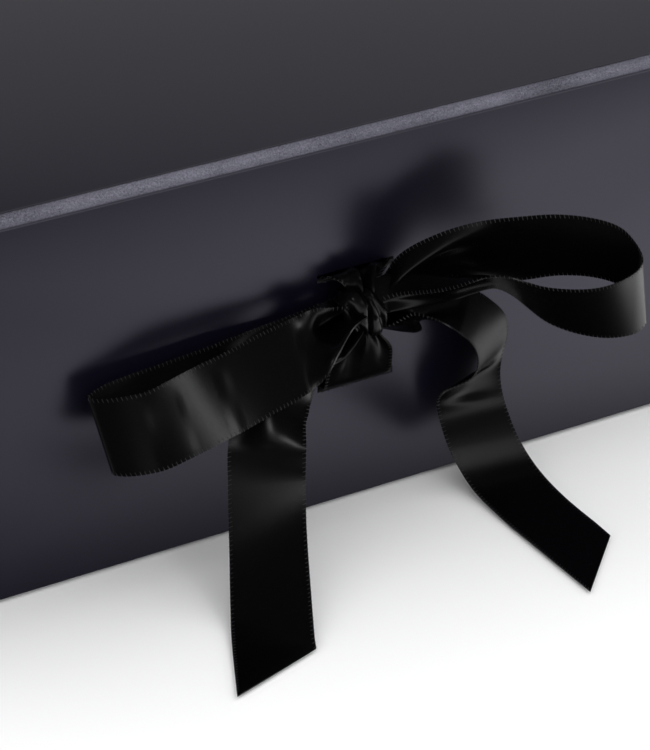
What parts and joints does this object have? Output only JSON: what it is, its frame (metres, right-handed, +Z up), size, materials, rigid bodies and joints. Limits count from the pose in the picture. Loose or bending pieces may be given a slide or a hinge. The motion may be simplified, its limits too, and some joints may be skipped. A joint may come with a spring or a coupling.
{
  "type": "gift box",
  "caption": "Rectangular paper-covered gift box with a hinged lid, a front flap closed by hidden magnets and a satin ribbon tied in a bow through slots in the flap.",
  "frame": {"origin": "centre of the underside of the base panel", "axes": "+Z up, -Y towards the front flap and its bow, +X to the right seen from the front"},
  "size_m": [0.32, 0.3017, 0.107],
  "materials": {
    "wrap_paper": "pearlescent",
    "liner_paper": "matte",
    "grey_board": "matte",
    "satin_ribbon": "satin",
    "magnet": "satin",
    "steel_disc": "satin"
  },
  "bodies": {
    "tray": {"base_board": "grey_board", "base_wrap": "wrap_paper", "base_liner": "liner_paper", "hinge_paper_base": "wrap_paper", "back_board": "grey_board", "back_wrap": "wrap_paper", "back_liner": "liner_paper", "tray_front_board": "grey_board", "tray_back_board": "grey_board", "tray_left_board": "grey_board", "tray_right_board": "grey_board", "tray_floor_board": "grey_board", "tray_wrap": "wrap_paper", "tray_lining": "liner_paper", "steel_disc_left": "steel_disc", "steel_disc_right": "steel_disc"},
    "lid": {"lid_board": "grey_board", "lid_wrap": "wrap_paper", "lid_liner": "liner_paper", "hinge_paper_lid": "wrap_paper"},
    "flap": {"flap_board": "grey_board", "flap_wrap": "wrap_paper", "flap_liner": "liner_paper", "hinge_paper_flap": "wrap_paper", "magnet_left": "magnet", "magnet_right": "magnet", "ribbon_back_strap": "satin_ribbon", "ribbon_lower_strap": "satin_ribbon", "ribbon_upper_strap": "satin_ribbon", "ribbon_knot": "satin_ribbon", "ribbon_left_loop": "satin_ribbon", "ribbon_right_loop": "satin_ribbon", "ribbon_left_tail": "satin_ribbon", "ribbon_right_tail": "satin_ribbon"}
  },
  "joints": [
    {"name": "lid_hinge", "type": "hinge", "parent": "tray", "child": "lid", "pos_m": [0, 0.1136, 0.1056], "axis": [-1, 0, 0], "range_deg": [0, 180], "deforming": ["hinge_paper_lid"]},
    {"name": "flap_hinge", "type": "hinge", "parent": "lid", "child": "flap", "pos_m": [0, -0.1136, 0.1056], "axis": [-1, 0, 0], "range_deg": [0, 90], "deforming": ["hinge_paper_flap"]}
  ]
}
